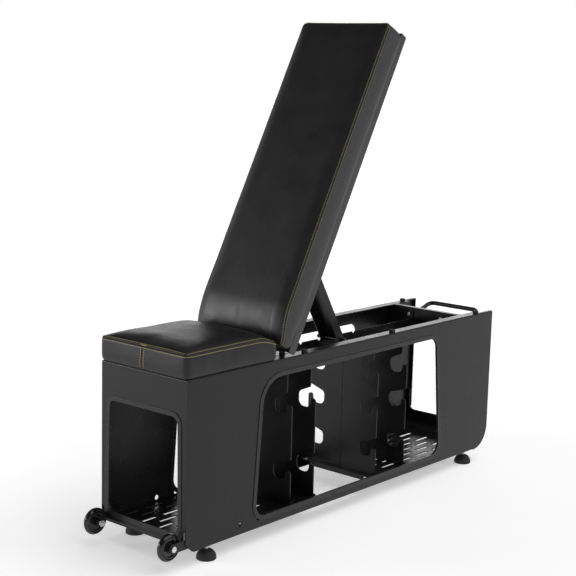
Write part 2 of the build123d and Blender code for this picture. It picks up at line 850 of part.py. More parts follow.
# ---- write one file for each node ---------------------------------------------------------------
def build_nodes():
    nodes = {
        "front_panel": front_panel(),
        "front_opening_trim": front_opening_trim(),
        "front_tray": front_tray(),
        "rear_tray": rear_tray(),
        "seat_cross_member": seat_cross_member(),
        "hinge_cross_member": hinge_cross_member(),
        "rear_cross_member": rear_cross_member(),
        "hinge_pins": hinge_pins(),
        "ladder_bolts": ladder_bolts(),
        "lift_handle": lift_handle(),
        "hook_plate_bolts": hook_plate_bolts(),
        "wheel_bolts": wheel_bolts(),
        "wheel_nuts": wheel_nuts(),
        "wheel_washers": wheel_washers(),
        "seat_board": seat_board(),
        "seat_pad": seat_pad(),
        "seat_screws": seat_screws(),
        "rail_bumpers": rail_bumpers(),
        "backrest_pan": backrest_pan(),
        "backrest_hinge_lugs": backrest_hinge_lugs(),
        "strut_bracket": strut_bracket(),
        "strut_pin": strut_pin(),
        "backrest_board": backrest_board(),
        "backrest_pad": backrest_pad(),
        "backrest_screws": backrest_screws(),
        "prop_strut": prop_strut(),
        "strut_foot_rod": strut_foot_rod(),
    }
    foot_places = []
    for side, side_name in ((-1, "right"), (1, "left")):
        nodes["side_panel_" + side_name] = side_panel(side)
        nodes["side_opening_trim_" + side_name] = side_opening_trim(side)
        nodes["hinge_bracket_" + side_name] = hinge_bracket(side)
        nodes["ladder_rail_" + side_name] = ladder_rail(side)
        nodes["wheel_bracket_" + side_name] = wheel_bracket(side)
        nodes["wheel_" + side_name] = wheel(side)
        plates = [(d, front_levels) for d in front_pair] + [(d, rear_levels) for d in rear_pair]
        for number, (distance, levels) in enumerate(plates, start=1):
            nodes[f"hook_plate_{number}_{side_name}"] = hook_plate(distance, levels, side)
        for distance, end_name in zip(foot_stations, ("front", "rear")):
            x, y = station(distance), side * foot_y
            foot_places.append((x, y))
            name = f"{end_name}_{side_name}"
            nodes["foot_pad_" + name] = foot_pad(x, y)
            nodes["foot_stem_" + name] = foot_stem(x, y)
    nodes["foot_lock_nuts"] = foot_lock_nuts(foot_places)
    nodes["foot_weld_nuts"] = foot_weld_nuts(foot_places)
    return nodes


os.makedirs("parts", exist_ok=True)
for node_name, node_shape in build_nodes().items():
    export_step(node_shape, f"parts/{node_name}.step")
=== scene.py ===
import json
import math

import bpy
from mathutils import Matrix, Vector, noise
from mathutils.bvhtree import BVHTree


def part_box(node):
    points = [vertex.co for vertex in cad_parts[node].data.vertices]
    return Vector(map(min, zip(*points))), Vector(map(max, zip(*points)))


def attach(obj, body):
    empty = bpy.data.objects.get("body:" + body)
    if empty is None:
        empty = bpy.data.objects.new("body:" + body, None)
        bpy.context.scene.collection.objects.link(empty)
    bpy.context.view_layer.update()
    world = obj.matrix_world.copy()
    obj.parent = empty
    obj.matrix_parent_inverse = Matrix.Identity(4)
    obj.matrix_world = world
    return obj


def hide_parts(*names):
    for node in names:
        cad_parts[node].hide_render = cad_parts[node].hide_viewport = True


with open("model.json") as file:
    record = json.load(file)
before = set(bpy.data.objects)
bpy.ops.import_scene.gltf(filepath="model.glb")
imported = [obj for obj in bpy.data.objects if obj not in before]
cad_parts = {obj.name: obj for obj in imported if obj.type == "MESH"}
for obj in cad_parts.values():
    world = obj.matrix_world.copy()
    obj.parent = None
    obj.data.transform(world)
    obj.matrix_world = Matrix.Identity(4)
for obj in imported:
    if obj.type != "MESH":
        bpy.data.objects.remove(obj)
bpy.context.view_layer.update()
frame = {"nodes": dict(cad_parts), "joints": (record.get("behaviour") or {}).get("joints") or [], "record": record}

# Looks of the adjustable weight bench. Metres, in the frame of the CAD model: +X runs from the seat
# to the lift handle, +Z is up, and the bench is symmetric about the XZ plane.

MM = 0.001


# ---- places taken from the frame ----------------------------------------------------------------
def joint(name):
    """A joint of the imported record."""
    return next(j for j in frame["joints"] if j["name"] == name)


hinge = Vector(joint("backrest_incline")["pos_m"])
incline = math.radians(-joint("backrest_incline")["range_deg"][0])
raise_backrest = (
    Matrix.Translation(hinge) @ Matrix.Rotation(incline, 4, Vector((0, -1, 0))) @ Matrix.Translation(-hinge)
)


def flat_box(node):
    """A backrest node's box with the backrest laid flat."""
    points = [raise_backrest.inverted() @ v.co for v in frame["nodes"][node].data.vertices]
    low = Vector(min(p[i] for p in points) for i in range(3))
    high = Vector(max(p[i] for p in points) for i in range(3))
    return low, high


# ---- materials ----------------------------------------------------------------------------------
BEVEL_SAMPLES = 6
EDGE_TURN = (0.985, 0.86)          # cosines of the rounded normal's turn: no edge, and a full edge


class Recipe:
    """A short way to build one procedural material. A texture's scale is in cells per metre."""

    def __init__(self, name):
        self.material = bpy.data.materials.new(name)
        self.material.use_nodes = True
        self.tree = self.material.node_tree
        self.shader = self.tree.nodes["Principled BSDF"]
        self.place = self.add("ShaderNodeTexCoord").outputs["Object"]

    def add(self, kind, **settings):
        made = self.tree.nodes.new(kind)
        for name, value in settings.items():
            setattr(made, name, value)
        return made

    def feed(self, socket, value):
        """Join a socket to an output, or give it a plain value."""
        if isinstance(value, bpy.types.NodeSocket):
            self.tree.links.new(value, socket)
        else:
            socket.default_value = value

    def shade(self, **values):
        """Shader inputs by name, with _ for a space."""
        for name, value in values.items():
            self.feed(self.shader.inputs[name.replace("_", " ")], value)

    def stretch(self, x, y, z):
        """The place on the object, scaled along each axis."""
        made = self.add("ShaderNodeMapping")
        self.feed(made.inputs["Vector"], self.place)
        made.inputs["Scale"].default_value = (x, y, z)
        return made.outputs["Vector"]

    def noise(self, scale, detail=3.0, roughness=0.55, place=None):
        made = self.add("ShaderNodeTexNoise")
        self.feed(made.inputs["Vector"], place or self.place)
        made.inputs["Scale"].default_value = scale
        made.inputs["Detail"].default_value = detail
        made.inputs["Roughness"].default_value = roughness
        return made.outputs["Fac"]

    def cells(self, scale, feature, place):
        made = self.add("ShaderNodeTexVoronoi", feature=feature)
        self.feed(made.inputs["Vector"], place)
        made.inputs["Scale"].default_value = scale
        return made.outputs["Distance"]

    def spread(self, value, low, high, to_low, to_high):
        """A value between low and high, moved to between to_low and to_high."""
        made = self.add("ShaderNodeMapRange", clamp=True)
        self.feed(made.inputs["Value"], value)
        made.inputs["From Min"].default_value = low
        made.inputs["From Max"].default_value = high
        made.inputs["To Min"].default_value = to_low
        made.inputs["To Max"].default_value = to_high
        return made.outputs["Result"]

    def mask(self, value, low=0.3, high=0.7):
        """0 up to low, 1 from high on."""
        return self.spread(value, low, high, 0.0, 1.0)

    def sum(self, *values, operation="ADD"):
        total = values[0]
        for value in values[1:]:
            made = self.add("ShaderNodeMath", operation=operation)
            self.feed(made.inputs[0], total)
            self.feed(made.inputs[1], value)
            total = made.outputs["Value"]
        return total

    def product(self, *values):
        return self.sum(*values, operation="MULTIPLY")

    def blend_colours(self, amount, first, second):
        """A colour between two colours."""
        made = self.add("ShaderNodeMix", data_type="RGBA")
        colours = [s for s in made.inputs if s.type == "RGBA"]
        self.feed(made.inputs["Factor"], amount)
        for socket, colour in zip(colours, (first, second)):
            self.feed(socket, colour if isinstance(colour, bpy.types.NodeSocket) else (*colour, 1.0))
        return next(s for s in made.outputs if s.type == "RGBA")

    def bump(self, height, distance, strength=1.0, normal=None):
        """A normal that leans with a height, which is in units of distance."""
        made = self.add("ShaderNodeBump")
        made.inputs["Strength"].default_value = strength
        made.inputs["Distance"].default_value = distance
        self.feed(made.inputs["Height"], height)
        if normal:
            self.feed(made.inputs["Normal"], normal)
        return made.outputs["Normal"]

    def soft_edges(self, radius):
        """A normal that rounds sharp edges off, and how much it had to."""
        rounded = self.add("ShaderNodeBevel", samples=BEVEL_SAMPLES)
        rounded.inputs["Radius"].default_value = radius
        plain = self.add("ShaderNodeNewGeometry").outputs["Normal"]
        match = self.add("ShaderNodeVectorMath", operation="DOT_PRODUCT")
        self.feed(match.inputs[0], rounded.outputs["Normal"])
        self.feed(match.inputs[1], plain)
        edge = self.mask(match.outputs["Value"], *EDGE_TURN)
        return rounded.outputs["Normal"], edge


def shade_of(colour, factor):
    return tuple(channel * factor for channel in colour)


def coated_steel(name, colour, roughness, peel=1.0, edge_wear_and_highlight=0.35, shine=0.27):
    """Powder coat: orange peel, edges lighter from worn paint and from a painted edge highlight, and faint
    handling marks.
    """
    r = Recipe(name)
    normal, edge = r.soft_edges(1.2 * MM)
    patches = r.mask(r.noise(7.0, 4.0))
    base = r.blend_colours(patches, shade_of(colour, 0.88), shade_of(colour, 1.12))
    # Edges turn lighter in colour: partly worn paint, partly a painted highlight along the bends.
    worn_and_lit_edges = r.product(edge, r.spread(r.noise(60.0, 4.0), 0.42, 0.62, 0.15, 1.0), edge_wear_and_highlight)
    bare_and_highlight = tuple(c + 0.09 for c in colour)
    base = r.blend_colours(worn_and_lit_edges, base, bare_and_highlight)
    marks = r.spread(r.noise(14.0, 6.0, 0.7), 0.35, 0.7, roughness - 0.05, roughness + 0.07)
    orange_peel = r.sum(r.noise(900.0, 2.0), r.product(r.noise(2600.0, 1.0), 0.35))
    r.shade(Base_Color=base, Roughness=marks, Specular_IOR_Level=shine)
    r.shade(Normal=r.bump(orange_peel, 0.12 * MM * peel, 0.55, normal))
    return r.material


def vinyl(name, colour, roughness, shine):
    """Grained upholstery vinyl: pebble cells cut by creases, with a slight sheen."""
    r = Recipe(name)
    wander = r.add("ShaderNodeTexNoise")
    r.feed(wander.inputs["Vector"], r.place)
    wander.inputs["Scale"].default_value = 420.0
    shift = r.add("ShaderNodeVectorMath", operation="SCALE")
    r.feed(shift.inputs[0], wander.outputs["Color"])
    shift.inputs["Scale"].default_value = 1.4 * MM
    warped = r.add("ShaderNodeVectorMath", operation="ADD")
    r.feed(warped.inputs[0], r.place)
    r.feed(warped.inputs[1], shift.outputs["Vector"])
    uneven = warped.outputs["Vector"]
    pebbles = r.cells(760.0, "SMOOTH_F1", uneven)
    creases = r.mask(r.cells(520.0, "DISTANCE_TO_EDGE", uneven), 0.0, 0.12)
    fine = r.noise(1500.0, 2.0)
    leather = r.sum(r.product(pebbles, -0.6), r.product(creases, 0.5), r.product(fine, 0.25))
    tone = r.mask(r.noise(9.0, 4.0))
    base = r.blend_colours(tone, shade_of(colour, 0.9), shade_of(colour, 1.1))
    # The grain's creases are painted darker: painted shade in the hollows.
    base = r.blend_colours(r.spread(creases, 0.0, 1.0, 0.35, 0.0), base, shade_of(colour, 0.45))
    gloss = r.spread(r.noise(16.0, 5.0, 0.65), 0.3, 0.72, roughness - 0.05, roughness + 0.06)
    r.shade(Base_Color=base, Roughness=gloss, Specular_IOR_Level=shine)
    r.shade(Normal=r.bump(leather, 0.16 * MM, 0.6))
    return r.material


def thread(name, colour):
    """Twisted sewing thread."""
    r = Recipe(name)
    tone = r.mask(r.noise(500.0, 2.0))
    base = r.blend_colours(tone, shade_of(colour, 0.75), shade_of(colour, 1.2))
    strands = r.noise(2400.0, 1.0, place=r.stretch(1.0, 1.0, 0.4))
    r.shade(Base_Color=base, Roughness=r.spread(strands, 0.3, 0.7, 0.5, 0.72), Sheen_Weight=0.25)
    r.shade(Normal=r.bump(strands, 0.1 * MM))
    return r.material


def zinc_plate(name, colour, roughness):
    """Bright plated steel with a cloudy surface and fine lines from turning."""
    r = Recipe(name)
    normal, edge = r.soft_edges(0.4 * MM)
    clouds = r.mask(r.noise(90.0, 4.0))
    base = r.blend_colours(clouds, shade_of(colour, 0.86), colour)
    # Edges blend towards pale grey: a painted highlight along the rounded edges.
    base = r.blend_colours(r.product(edge, 0.5), base, (0.9, 0.9, 0.9))
    lines = r.noise(1800.0, 2.0, place=r.stretch(1.0, 1.0, 0.15))
    rough = r.spread(r.noise(240.0, 3.0), 0.3, 0.7, roughness - 0.06, roughness + 0.1)
    r.shade(Base_Color=base, Roughness=rough, Metallic=1.0)
    r.shade(Normal=r.bump(lines, 0.05 * MM, 0.5, normal))
    return r.material


def rubber(name, colour):
    """Matt rubber with a little dust."""
    r = Recipe(name)
    normal, edge = r.soft_edges(0.8 * MM)
    dust = r.spread(r.noise(120.0, 5.0, 0.7), 0.45, 0.75, 0.0, 0.5)
    base = r.blend_colours(dust, colour, shade_of(colour, 2.2))
    # Edges painted lighter: a painted highlight along the rounded edges.
    base = r.blend_colours(r.product(edge, 0.3), base, shade_of(colour, 3.0))
    grain = r.noise(1400.0, 3.0)
    r.shade(Base_Color=base, Roughness=r.spread(grain, 0.3, 0.7, 0.62, 0.8))
    r.shade(Normal=r.bump(grain, 0.1 * MM, 0.6, normal))
    return r.material


def moulded_plastic(name, colour, roughness):
    """Glossy moulded plastic with hairline scuffs."""
    r = Recipe(name)
    normal, edge = r.soft_edges(0.7 * MM)
    scuffs = r.mask(r.noise(400.0, 4.0, 0.7, place=r.stretch(1.0, 0.3, 1.0)), 0.55, 0.75)
    base = r.blend_colours(r.product(scuffs, 0.4), colour, shade_of(colour, 2.5))
    # Edges painted lighter: a painted highlight along the rounded edges.
    base = r.blend_colours(r.product(edge, 0.25), base, shade_of(colour, 4.0))
    r.shade(Base_Color=base, Roughness=r.spread(scuffs, 0.0, 1.0, roughness, roughness + 0.25))
    r.shade(Normal=r.bump(r.noise(220.0, 2.0), 0.06 * MM, 0.5, normal))
    return r.material


def plywood(name, pale, dark):
    """Stained plywood: grain along X and thin plies seen at the edges."""
    r = Recipe(name)
    grain = r.noise(120.0, 6.0, 0.6, place=r.stretch(0.08, 1.0, 1.0))
    plies = r.add("ShaderNodeTexWave", wave_type="BANDS", bands_direction="Z")
    r.feed(plies.inputs["Vector"], r.place)
    plies.inputs["Scale"].default_value = 180.0
    plies.inputs["Distortion"].default_value = 0.6
    base = r.blend_colours(r.mask(grain, 0.35, 0.68), pale, dark)
    base = r.blend_colours(r.spread(plies.outputs["Fac"], 0.4, 0.6, 0.0, 0.35), base, shade_of(dark, 0.7))
    r.shade(Base_Color=base, Roughness=r.spread(grain, 0.3, 0.7, 0.55, 0.75))
    r.shade(Normal=r.bump(grain, 0.15 * MM, 0.5))
    return r.material


frame_coat = coated_steel("frame_coat", (0.010, 0.010, 0.0105), 0.30)
inner_coat = coated_steel("inner_coat", (0.008, 0.008, 0.0085), 0.30)
hook_coat = coated_steel("hook_coat", (0.010, 0.010, 0.0105), 0.32)
# The rim's base is lighter than the frame coat's, a painted lighter tone for its lit raised flanks, and its edges
# get a stronger painted highlight.
lit_trim_coat = coated_steel("lit_trim_coat", (0.022, 0.022, 0.0235), 0.28, peel=0.5, edge_wear_and_highlight=0.6)
handle_coat = coated_steel("handle_coat", (0.010, 0.010, 0.011), 0.28, peel=0.6)
pan_coat = coated_steel("pan_coat", (0.012, 0.012, 0.0125), 0.36, shine=0.6)
zinc = zinc_plate("zinc", (0.66, 0.67, 0.69), 0.24)
black_rubber = rubber("black_rubber", (0.010, 0.010, 0.010))
wheel_plastic = moulded_plastic("wheel_plastic", (0.007, 0.007, 0.008), 0.16)
seat_vinyl = vinyl("seat_vinyl", (0.010, 0.010, 0.0105), roughness=0.40, shine=0.32)
back_vinyl = vinyl("back_vinyl", (0.007, 0.007, 0.0073), roughness=0.38, shine=0.6)
olive_thread = thread("olive_thread", (0.44, 0.37, 0.13))
dull_thread = thread("dull_thread", (0.24, 0.20, 0.08))
board_wood = plywood("board_wood", (0.09, 0.07, 0.055), (0.05, 0.036, 0.026))

slot_materials = {
    "frame_paint": frame_coat,
    "inner_paint": inner_coat,
    "hook_paint": hook_coat,
    "edge_trim": lit_trim_coat,
    "handle_paint": handle_coat,
    "zinc": zinc,
    "rubber": black_rubber,
    "wheel_plastic": wheel_plastic,
    "seat_vinyl": seat_vinyl,
    "back_vinyl": back_vinyl,
    "board_wood": board_wood,
}
node_materials = {"backrest_pan": pan_coat}        # nodes that look unlike the rest of their slot
for part in frame["record"]["subparts"]:
    finish = node_materials.get(part["node"], slot_materials[part["material_slot"]])
    for material_slot in frame["nodes"][part["node"]].material_slots:
        material_slot.material = finish


# ---- mesh helpers -------------------------------------------------------------------------------
def piece_of(name, points, faces, material, body):
    """A smooth-shaded mesh object that rides on a body."""
    mesh = bpy.data.meshes.new(name)
    mesh.from_pydata(points, [], faces)
    mesh.validate()
    mesh.materials.append(material)
    mesh.shade_smooth()
    made = bpy.data.objects.new(name, mesh)
    bpy.context.scene.collection.objects.link(made)
    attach(made, body)
    return made


def tube_rings(centres, tangents, normals, radii, sides):
    """Rings of points round a line, each with its own radius."""
    rings = []
    for centre, tangent, normal, radius in zip(centres, tangents, normals, radii):
        across = tangent.cross(normal).normalized()
        up = across.cross(tangent).normalized()
        turn = [2 * math.pi * i / sides for i in range(sides)]
        rings.append([centre + radius * (math.cos(a) * across + math.sin(a) * up) for a in turn])
    return rings


def skin_rings(points, faces, rings):
    """Join rings into a closed tube and add it to a mesh's points and faces."""
    first = len(points)
    sides = len(rings[0])
    for ring in rings:
        points.extend(ring)
    for r in range(len(rings) - 1):
        low = first + r * sides
        for i in range(sides):
            j = (i + 1) % sides
            faces.append((low + i, low + j, low + sides + j, low + sides + i))
    faces.append(tuple(first + i for i in reversed(range(sides))))
    last = first + (len(rings) - 1) * sides
    faces.append(tuple(last + i for i in range(sides)))


# ---- upholstery ---------------------------------------------------------------------------------
NEAR_SEAM = [1.5 * MM, 3.0 * MM, 4.6 * MM, 7.2 * MM, 11.5 * MM]    # edge loops on each side of the seam
PITCH = 5.5 * MM                                                  # mesh pitch away from the seam
CENTRE_SEAM = [-4.0 * MM, -1.8 * MM, 0.0, 1.8 * MM, 4.0 * MM]     # loops beside the end's own seam
BAND_ROWS = 6                                                     # rows of the side band below those loops
BAND_BULGE = 1.6 * MM                                             # how far the side band swells out
HEM_TUCK = 3.2 * MM                                               # how far its lower edge is drawn in
STAPLE_GAP = 0.5 * MM                                             # cover's underside to the board's edge
BOARD_GAP = 0.2 * MM                                              # foam's underside to the board's top


def stations(length, centre=()):
    """Distances from 0 to length: close together at both ends and at the centre, even between."""
    edge = [0.0, *NEAR_SEAM]
    marks = [length / 2 + c for c in centre] or [length / 2]
    first_run = even_steps(edge[-1], marks[0])
    second_run = even_steps(marks[-1], length - edge[-1])
    return [*edge, *first_run, *marks, *second_run, *(length - e for e in reversed(edge))]


def even_steps(start, end):
    """The places between two distances, about a pitch apart, without the two ends."""
    count = max(1, round((end - start) / PITCH))
    return [start + (end - start) * i / count for i in range(1, count)]


class Cushion:
    """A boxed cushion: a crowned top panel sewn to a side band, drawn flat with its skirt near z = 0.

    seam_height and crown give the seam's height and the top's rise over it, at a place on the plan,
    and hem gives the skirt's height. board is the board's inset and the height of its top. corner is
    the plan's corner radius, and pull is how far its sides are drawn in between the corners.
    """

    def __init__(self, length, width, corner, board, seam_height, crown, pull, hem=lambda x: 0.0):
        self.length, self.width, self.corner = length, width, corner
        self.board_inset, self.board_top = board
        self.seam_height, self.crown, self.pull, self.hem = seam_height, crown, pull, hem

    def plan(self, x, y):
        """Move a place in the plain rectangle into the rounded plan."""
        half_l, half_w, r = self.length / 2, self.width / 2, self.corner
        side_x, side_y = math.copysign(1, x), math.copysign(1, y)
        a, b = (abs(x) - (half_l - r)) / r, (abs(y) - (half_w - r)) / r
        if a > 0 and b > 0:
            a, b = a * math.sqrt(1 - b * b / 2), b * math.sqrt(1 - a * a / 2)
            x, y = side_x * (half_l - r + a * r), side_y * (half_w - r + b * r)
        pull_x = self.pull * (1 - (y / half_w) ** 2) * (abs(x) / half_l) ** 8
        pull_y = self.pull * (1 - (x / half_l) ** 2) * (abs(y) / half_w) ** 8
        return x - side_x * pull_x, y - side_y * pull_y

    def top(self, x, y):
        return self.seam_height(x) + self.crown(x, y)

    def build(self):
        """Points, quads and how firmly each point is held: 1 where it is stapled to the board."""
        xs = [s - self.length / 2 for s in stations(self.length)]
        ys = [s - self.width / 2 for s in stations(self.width, CENTRE_SEAM)]
        points, faces, held = [], [], []
        self.size = (len(xs), len(ys))

        def add(point, hold):
            points.append(Vector(point))
            held.append(hold)
            return len(points) - 1

        def sheet(height, scale, hold, faces_up):
            """A grid over the whole plan. Returns its boundary, anticlockwise from above."""
            grid = {}
            for i, x in enumerate(xs):
                for j, y in enumerate(ys):
                    px, py = self.plan(x, y)
                    grid[i, j] = add((px * scale[0], py * scale[1], height(px, py)), hold)
            for i in range(len(xs) - 1):
                for j in range(len(ys) - 1):
                    quad = (grid[i, j], grid[i + 1, j], grid[i + 1, j + 1], grid[i, j + 1])
                    faces.append(quad if faces_up else tuple(reversed(quad)))
            last_i, last_j = len(xs) - 1, len(ys) - 1
            ring = [grid[i, 0] for i in range(last_i)] + [grid[last_i, j] for j in range(last_j)]
            ring += [grid[i, last_j] for i in range(last_i, 0, -1)]
            return ring + [grid[0, j] for j in range(last_j, 0, -1)]

        seam = sheet(self.top, (1, 1), 0.0, True)
        outward = []
        for i in range(len(seam)):
            along = points[seam[(i + 1) % len(seam)]] - points[seam[i - 1]]
            outward.append(Vector((along.y, -along.x, 0)).normalized())
        rings = [seam]
        for k in range(1, len(NEAR_SEAM) + BAND_ROWS + 1):
            ring = []
            near = NEAR_SEAM[min(k, len(NEAR_SEAM)) - 1]
            rest = max(0, k - len(NEAR_SEAM)) / BAND_ROWS
            for index, out in zip(seam, outward):
                at = points[index]
                depth = at.z - self.hem(at.x)
                drop = near + (depth - near) * rest
                bulge = BAND_BULGE * math.sin(math.pi * drop / depth) ** 0.8 if rest < 1 else -HEM_TUCK
                ring.append(add((at.x + out.x * bulge, at.y + out.y * bulge, at.z - drop), 0.0))
            rings.append(ring)
        for index in rings[-1]:
            held[index] = 1.0
        inset = self.board_inset - STAPLE_GAP
        shrink = (1 - 2 * inset / self.length, 1 - 2 * inset / self.width)
        rings.append([add((points[i].x * shrink[0], points[i].y * shrink[1], self.hem(points[i].x)), 1.0)
                      for i in seam])
        rings.append(sheet(lambda x, y: self.board_top, shrink, 1.0, False))
        for upper, lower in zip(rings, rings[1:]):
            for i in range(len(upper)):
                j = (i + 1) % len(upper)
                faces.append((upper[j], upper[i], lower[i], lower[j]))
        self.rings = rings
        return points, faces, held

    def loop(self, depth):
        """The top panel's loop of points this many rows in from the seam."""
        cols, rows = self.size
        last_i, last_j = cols - 1 - depth, rows - 1 - depth

        def at(i, j):
            return i * rows + j

        ring = [at(i, depth) for i in range(depth, last_i)] + [at(last_i, j) for j in range(depth, last_j)]
        ring += [at(i, last_j) for i in range(last_i, depth, -1)]
        return ring + [at(depth, j) for j in range(last_j, depth, -1)]


SWELL_FRAMES = 20          # frames of cloth simulation
SWELL_SHARE = 0.16         # share of each point's simulated move that is kept


def swell(piece, held, pressure, cap):
    """Inflate a cushion by cloth simulation, and take up a share of each point's move, up to a cap."""
    scene = bpy.context.scene
    group = piece.vertex_groups.new(name="held")
    for index, weight in enumerate(held):
        if weight:
            group.add([index], weight, "REPLACE")
    cloth = piece.modifiers.new("swell", "CLOTH")
    settings = cloth.settings
    settings.quality = 5
    settings.mass = 0.35
    settings.tension_stiffness = 22.0
    settings.compression_stiffness = 22.0
    settings.shear_stiffness = 8.0
    settings.bending_stiffness = 2.0
    settings.use_pressure = True
    settings.uniform_pressure_force = pressure
    settings.vertex_group_mass = "held"
    settings.effector_weights.gravity = 0.0
    scene.frame_start, scene.frame_end = 1, SWELL_FRAMES
    for number in range(1, SWELL_FRAMES + 1):
        scene.frame_set(number)
    swollen = piece.evaluated_get(bpy.context.evaluated_depsgraph_get())
    for vertex, moved in zip(piece.data.vertices, swollen.data.vertices):
        step = moved.co - vertex.co
        vertex.co += step * min(SWELL_SHARE, cap / max(step.length, 1e-9))
    piece.modifiers.remove(cloth)
    piece.vertex_groups.remove(group)
    scene.frame_set(1)


SEAM_PROFILE = [-2.1 * MM, -0.1 * MM, 0.5 * MM, -0.3 * MM, 0.35 * MM, 0.1 * MM]    # by loops from the seam
END_SEAM_PROFILE = {0.0: -1.3 * MM, 1.8 * MM: 0.0, 4.0 * MM: 0.35 * MM}            # by distance from it
END_BAND = 4 * MM          # a side band's point this near the end belongs to the end
END_SEAM_MATCH = 0.6 * MM  # and this near one of the profile's distances it takes that offset


def press_seams(piece, cushion, end):
    """Draw the main seam in, with a soft ridge and a stitched hollow on both sides of it."""
    points = piece.data.vertices
    normals = [v.normal.copy() for v in points]
    for depth, offset in enumerate(SEAM_PROFILE):
        loops = [cushion.rings[depth]] + ([cushion.loop(depth)] if depth else [])
        for index in (i for loop in loops for i in loop):
            points[index].co += normals[index] * offset
    for ring in cushion.rings[1:-2]:
        for index in ring:
            at = points[index].co
            if at.x * end > cushion.length / 2 - END_BAND:
                near = min(END_SEAM_PROFILE, key=lambda mark: abs(abs(at.y) - mark))
                if abs(abs(at.y) - near) < END_SEAM_MATCH:
                    points[index].co += normals[index] * END_SEAM_PROFILE[near]


def refine(piece):
    """Apply one level of subdivision."""
    smooth = piece.modifiers.new("smooth", "SUBSURF")
    smooth.levels = smooth.render_levels = 1
    evaluated = piece.evaluated_get(bpy.context.evaluated_depsgraph_get())
    finer = bpy.data.meshes.new_from_object(evaluated)
    piece.modifiers.clear()
    old = piece.data
    piece.data = finer
    bpy.data.meshes.remove(old)
    piece.data.shade_smooth()


def pucker(piece, height_of):
    """Move each point along its normal by a height worked out from its place."""
    normals = [v.normal.copy() for v in piece.data.vertices]
    for vertex, normal in zip(piece.data.vertices, normals):
        vertex.co += normal * height_of(vertex.co, normal)
    piece.data.update()


# ---- stitching ----------------------------------------------------------------------------------
SEAT_THREAD = (olive_thread, 1.4 * MM, 3)      # material, thickness, and rows in from the seam
BACK_THREAD = (dull_thread, 1.1 * MM, 2)
STITCH_LENGTH = 4.6 * MM
STITCH_STEP = 5.8 * MM
# One stitch: share of its length, lift in half thicknesses, and share of the thickness.
STITCH_SHAPE = [(0.0, -0.9, 0.55), (0.18, 0.1, 0.95), (0.5, 0.35, 1.0), (0.82, 0.1, 0.95), (1.0, -0.9, 0.55)]
STITCH_SIDES = 6
END_ROWS = (-5.0 * MM, 5.0 * MM)           # rows beside the end's own seam
END_ROW_FROM, END_ROW_TO = 5.5 * MM, 4 * MM    # below the main seam, and above the skirt
END_ROW_STEPS = 16
TACK_INSETS = (2.6 * MM, 4.4 * MM)         # a bar tack's two rows, in from the end
TACK_STEP = 5.0 * MM


def surface_of(piece):
    mesh = piece.data
    return BVHTree.FromPolygons([v.co for v in mesh.vertices], [p.vertices for p in mesh.polygons])


def sew(surface, path, points, faces, thick, step=STITCH_STEP):
    """Add a row of stitches of a thread this thick along a path of points that lie near a surface."""
    spots = [surface.find_nearest(p)[:2] for p in path]
    reach = [0.0]
    for (a, _), (b, _) in zip(spots, spots[1:]):
        reach.append(reach[-1] + (b - a).length)

    def at(distance):
        k = max(1, next((i for i, r in enumerate(reach) if r >= distance), len(reach) - 1))
        part = (distance - reach[k - 1]) / max(reach[k] - reach[k - 1], 1e-9)
        return spots[k - 1][0].lerp(spots[k][0], part), spots[k - 1][1].lerp(spots[k][1], part).normalized()

    count = int((reach[-1] - STITCH_LENGTH) / step) + 1
    for number in range(count):
        centres, normals, radii = [], [], []
        for part, lift, width in STITCH_SHAPE:
            place, normal = at(number * step + part * STITCH_LENGTH)
            centres.append(place + normal * (lift * thick / 2))
            normals.append(normal)
            radii.append(width * thick / 2)
        tangent = (centres[-1] - centres[0]).normalized()
        tube = tube_rings(centres, [tangent] * len(centres), normals, radii, STITCH_SIDES)
        skin_rings(points, faces, tube)


def sew_cushion(name, piece, cushion, end, sewn_with, body, to_place):
    """Two rows along the main seam, two down the seam at one end of the band, and a bar tack."""
    surface = surface_of(piece)
    mesh_points = cushion.settled
    material, thick, row = sewn_with
    points, faces = [], []
    for ring in (cushion.loop(row), cushion.rings[row]):
        path = [mesh_points[i] for i in ring]
        sew(surface, path + path[:1], points, faces, thick)
    x = end * cushion.length / 2
    top = cushion.seam_height(x) - END_ROW_FROM
    heights = [top + (END_ROW_TO - top) * k / END_ROW_STEPS for k in range(END_ROW_STEPS + 1)]
    for y in END_ROWS:
        sew(surface, [Vector((x + end * 2 * MM, y, z)) for z in heights], points, faces, thick)
    for inset in TACK_INSETS:
        ys = [(-8 + 4 * k) * MM for k in range(5)]
        z = cushion.seam_height(x) + 1 * MM
        sew(surface, [Vector((x - end * inset, y, z)) for y in ys], points, faces, thick, TACK_STEP)
    piece_of(name, [to_place @ p for p in points], faces, material, body)


def upholster(name, node, cushion, material, sewn_with, body, end, cap, wrinkle, to_place):
    """Make a cushion and its stitching in place of a plain CAD solid.

    end is the end with a seam of its own, 1 or -1, and cap is the most that a point may swell.
    """
    points, faces, held = cushion.build()
    piece = piece_of(name, points, faces, material, body)
    swell(piece, held, pressure=4.0, cap=cap)
    piece.data.update()
    press_seams(piece, cushion, end)
    cushion.settled = [v.co.copy() for v in piece.data.vertices]
    refine(piece)
    pucker(piece, wrinkle)
    sew_cushion(name + "_stitching", piece, cushion, end, sewn_with, body, to_place)
    piece.data.transform(to_place)
    piece.data.update()
    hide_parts(node)


def shoulder(distance, reach):
    """Rise from 0 at an edge to 1 at a distance in, steep first and level last."""
    part = min(max(distance / reach, 0.0), 1.0)
    return 1 - (1 - part) ** 2.6


def crowned(length, width, edge_rise, middle_rise, reach):
    """A cushion top's rise over its seam."""
    def rise(x, y):
        along = shoulder(length / 2 - abs(x), reach)
        across = shoulder(width / 2 - abs(y), reach)
        middle = (1 - (2 * y / width) ** 2) * (1 - (2 * x / length) ** 4)
        return edge_rise * along * across + middle_rise * max(middle, 0.0)
    return rise


SEAM_BELOW_TOP = 7 * MM        # the main seam, under the plain solid's top
STILL_BELOW = 6 * MM           # no wrinkles this near the skirt
FALL_BEND = 1.9                # how late the fall towards the hinge sets in


